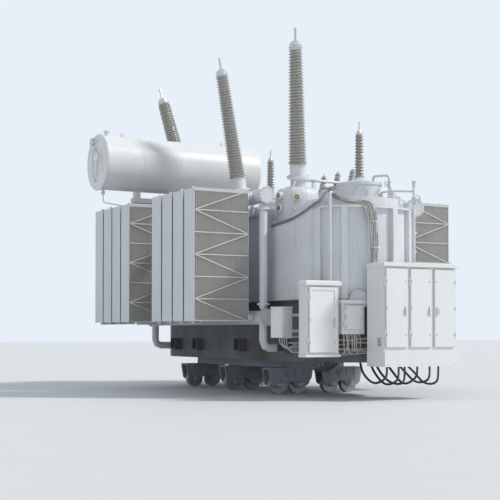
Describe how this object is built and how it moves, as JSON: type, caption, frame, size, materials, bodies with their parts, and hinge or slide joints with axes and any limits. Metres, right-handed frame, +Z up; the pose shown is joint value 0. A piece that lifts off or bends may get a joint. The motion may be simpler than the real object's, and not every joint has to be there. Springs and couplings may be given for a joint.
{
  "type": "power transformer",
  "caption": "Large oil-filled three-phase power transformer on bogies, with radiator banks, leaning bushings, conservator and control cabinets.",
  "frame": {"origin": "middle of the overall box at the level of the wheels' bottoms", "axes": "+Z up; +Y along the tank, away from the control cabinets; the wheels roll along X; the high-voltage row is on the -X side"},
  "size_m": [7.67, 10.185, 8.4145],
  "materials": {
    "tank_paint": "satin light grey paint, weathered",
    "cabinet_paint": "satin off-white paint",
    "radiator_paint": "satin grey paint",
    "running_gear_paint": "matt dark grey paint with rust and dust",
    "hv_porcelain": "glazed grey-brown porcelain",
    "mv_porcelain": "glazed brown porcelain"
  },
  "bodies": {
    "root": {"base_skid": "running_gear_paint", "bogie_front_left": "running_gear_paint", "bogie_middle_left": "running_gear_paint", "bogie_rear_left": "running_gear_paint", "bogie_front_right": "running_gear_paint", "bogie_middle_right": "running_gear_paint", "bogie_rear_right": "running_gear_paint", "lower_tank": "tank_paint", "upper_tank": "tank_paint", "tank_cover": "tank_paint", "radiator_bank_front_left": "radiator_paint", "radiator_bank_rear_left": "radiator_paint", "radiator_bank_front_right": "radiator_paint", "radiator_bank_rear_right": "radiator_paint", "upper_collector_left": "tank_paint", "lower_collector_left": "tank_paint", "riser_front_left": "tank_paint", "riser_rear_left": "tank_paint", "upper_collector_right": "tank_paint", "lower_collector_right": "tank_paint", "riser_front_right": "tank_paint", "riser_rear_right": "tank_paint", "hv_turret_1": "tank_paint", "hv_bushing_1": "hv_porcelain", "hv_turret_2": "tank_paint", "hv_bushing_2": "hv_porcelain", "hv_turret_3": "tank_paint", "hv_bushing_3": "hv_porcelain", "mv_1_turret": "tank_paint", "mv_1_bushing": "mv_porcelain", "mv_2_turret": "tank_paint", "mv_2_bushing": "mv_porcelain", "mv_3_turret": "tank_paint", "mv_3_bushing": "mv_porcelain", "neutral_turret": "tank_paint", "neutral_bushing": "mv_porcelain", "tertiary_bushings": "tank_paint", "conservator": "cabinet_paint", "conservator_supports": "cabinet_paint", "large_cabinet_shell": "cabinet_paint", "medium_cabinet_shell": "cabinet_paint", "wall_box_shell": "cabinet_paint", "small_box": "cabinet_paint"},
    "large_cabinet_door_1": {"large_cabinet_door_1": "cabinet_paint"},
    "large_cabinet_door_2": {"large_cabinet_door_2": "cabinet_paint"},
    "large_cabinet_door_3": {"large_cabinet_door_3": "cabinet_paint"},
    "medium_cabinet_door": {"medium_cabinet_door": "cabinet_paint"},
    "wall_box_door": {"wall_box_door": "cabinet_paint"}
  },
  "joints": [
    {"name": "large_cabinet_door_1_hinge", "type": "hinge", "parent": "root", "child": "large_cabinet_door_1", "pos_m": [-0.2325, -5.0425, 1.14], "axis": [0, 0, -1], "range_deg": [0, 110]},
    {"name": "large_cabinet_door_2_hinge", "type": "hinge", "parent": "root", "child": "large_cabinet_door_2", "pos_m": [0.4125, -5.0425, 1.14], "axis": [0, 0, -1], "range_deg": [0, 110]},
    {"name": "large_cabinet_door_3_hinge", "type": "hinge", "parent": "root", "child": "large_cabinet_door_3", "pos_m": [1.6625, -5.0425, 1.14], "axis": [0, 0, 1], "range_deg": [0, 110]},
    {"name": "medium_cabinet_door_hinge", "type": "hinge", "parent": "root", "child": "medium_cabinet_door", "pos_m": [-1.65, -4.2525, 1.03], "axis": [0, 0, -1], "range_deg": [0, 110]},
    {"name": "wall_box_door_hinge", "type": "hinge", "parent": "root", "child": "wall_box_door", "pos_m": [-0.76, -4.3025, 1.52], "axis": [0, 0, -1], "range_deg": [0, 110]}
  ]
}
